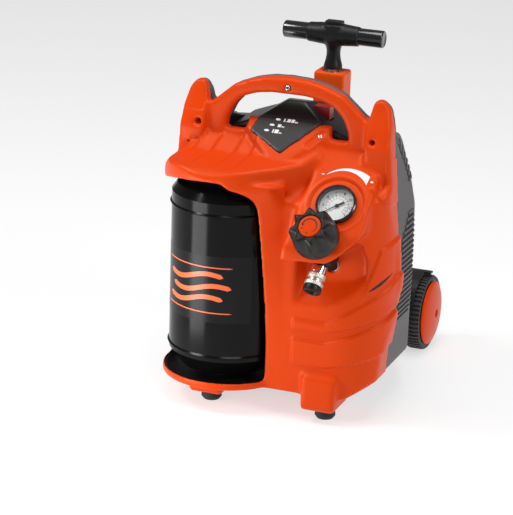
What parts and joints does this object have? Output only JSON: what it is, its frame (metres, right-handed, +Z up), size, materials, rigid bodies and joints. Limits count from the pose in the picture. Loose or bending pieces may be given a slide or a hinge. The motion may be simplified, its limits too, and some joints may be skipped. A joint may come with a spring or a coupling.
{
  "type": "trolley air compressor",
  "caption": "Upright oil-free air compressor on a wheeled casing with front tank, leaning control panel, quick coupler, carry handle and telescopic pull handle.",
  "frame": {"origin": "on the floor under the middle of the outer box", "axes": "+Z up, -Y is the front with tank and control panel, +X is the right-hand side seen from the front"},
  "size_m": [0.322, 0.4749, 0.491],
  "materials": {
    "orange_shell": "satin moulded ABS",
    "grey_shell": "fine-textured moulded ABS",
    "dark_cover": "satin moulded ABS",
    "black_plastic": "moulded",
    "gloss_black": "polished moulding",
    "orange_trim": "satin",
    "red_plastic": "moulded",
    "tank_paint": "gloss enamel",
    "chrome": "nickel plated",
    "steel": "bright",
    "brass": "machined",
    "aluminium": "cast",
    "iron": "laminated",
    "rubber": "moulded",
    "tyre": "ribbed",
    "dial_white": "printed",
    "lens": "clear"
  },
  "bodies": {
    "casing": {"front_shell": "orange_shell", "rear_shell": "grey_shell", "top_cover": "dark_cover", "fender_left": "grey_shell", "fender_right": "grey_shell", "tank": "tank_paint", "tank_pad": "rubber", "drain_valve": "brass", "regulator_body": "black_plastic", "gauge_case": "gloss_black", "gauge_dial": "dial_white", "gauge_lens": "lens", "gauge_ring": "orange_trim", "coupler_body": "chrome", "coupler_nose": "black_plastic", "motor_stator": "iron", "shaft_bearing_left": "aluminium", "shaft_bearing_right": "aluminium", "motor_mounts": "rubber", "crankcase": "aluminium", "cylinder": "aluminium", "piston_rod": "aluminium", "cylinder_head": "aluminium", "intake_filter": "black_plastic", "capacitor": "black_plastic", "capacitor_clip": "steel", "check_valve": "brass", "delivery_pipe": "aluminium", "manifold": "aluminium", "safety_valve": "brass", "pressure_switch": "black_plastic", "cable_gland": "black_plastic", "guide_tube": "steel", "handle_collar": "orange_trim", "axle": "steel", "axle_bracket": "grey_shell", "front_foot_left": "rubber", "front_foot_right": "rubber", "casing_screws": "steel"},
    "handle": {"lift_tube": "steel", "handle_neck": "gloss_black", "handle_clamp": "black_plastic", "handle_grips": "gloss_black"},
    "release": {"release_button": "black_plastic"},
    "knob": {"regulator_knob": "black_plastic", "knob_cap": "orange_trim"},
    "needle": {"gauge_needle": "black_plastic"},
    "coupler": {"coupler_sleeve": "chrome"},
    "switch": {"on_off_button": "red_plastic"},
    "rotor": {"motor_rotor": "steel", "fan": "black_plastic", "crank": "iron"},
    "tap": {"drain_tap": "brass"},
    "safety": {"safety_ring": "steel"},
    "wheel_left": {"wheel_tyre_left": "tyre", "wheel_rim_left": "black_plastic", "hub_cap_left": "orange_trim"},
    "wheel_right": {"wheel_tyre_right": "tyre", "wheel_rim_right": "black_plastic", "hub_cap_right": "orange_trim"}
  },
  "joints": [
    {"name": "handle_slide", "type": "slide", "parent": "casing", "child": "handle", "axis": [0, 0, 1], "range_m": [0, 0.3]},
    {"name": "release_press", "type": "slide", "parent": "handle", "child": "release", "axis": [0, 0, -1], "range_m": [0, 0.003], "stiffness_N_per_m": 400},
    {"name": "knob_turn", "type": "hinge", "parent": "casing", "child": "knob", "pos_m": [0.081, -0.20146, 0.27657], "axis": [0, -0.766, 0.6428], "range_deg": [-170, 170]},
    {"name": "needle_turn", "type": "hinge", "parent": "casing", "child": "needle", "pos_m": [0.091, -0.1484, 0.303], "axis": [0, -0.766, 0.6428], "range_deg": [-270, 0], "stiffness_Nm_per_rad": 0.002},
    {"name": "sleeve_pull", "type": "slide", "parent": "casing", "child": "coupler", "axis": [0.08, 0.6396, 0.7645], "range_m": [0, 0.0025], "stiffness_N_per_m": 600},
    {"name": "switch_press", "type": "slide", "parent": "casing", "child": "switch", "axis": [0, 0, -1], "range_m": [0, 0.0035], "stiffness_N_per_m": 500},
    {"name": "shaft_spin", "type": "hinge", "parent": "casing", "child": "rotor", "pos_m": [0, 0.0175, 0.13], "axis": [1, 0, 0], "continuous": true},
    {"name": "drain_turn", "type": "hinge", "parent": "casing", "child": "tap", "pos_m": [-0.072, -0.1055, 0.03], "axis": [0, 1, 0], "range_deg": [0, 90]},
    {"name": "safety_pull", "type": "slide", "parent": "casing", "child": "safety", "axis": [0, 0, 1], "range_m": [0, 0.003], "stiffness_N_per_m": 800},
    {"name": "wheel_left_spin", "type": "hinge", "parent": "casing", "child": "wheel_left", "pos_m": [-0.1155, 0.1849, 0.0546], "axis": [1, 0, 0], "continuous": true},
    {"name": "wheel_right_spin", "type": "hinge", "parent": "casing", "child": "wheel_right", "pos_m": [0.1155, 0.1849, 0.0546], "axis": [1, 0, 0], "continuous": true}
  ]
}
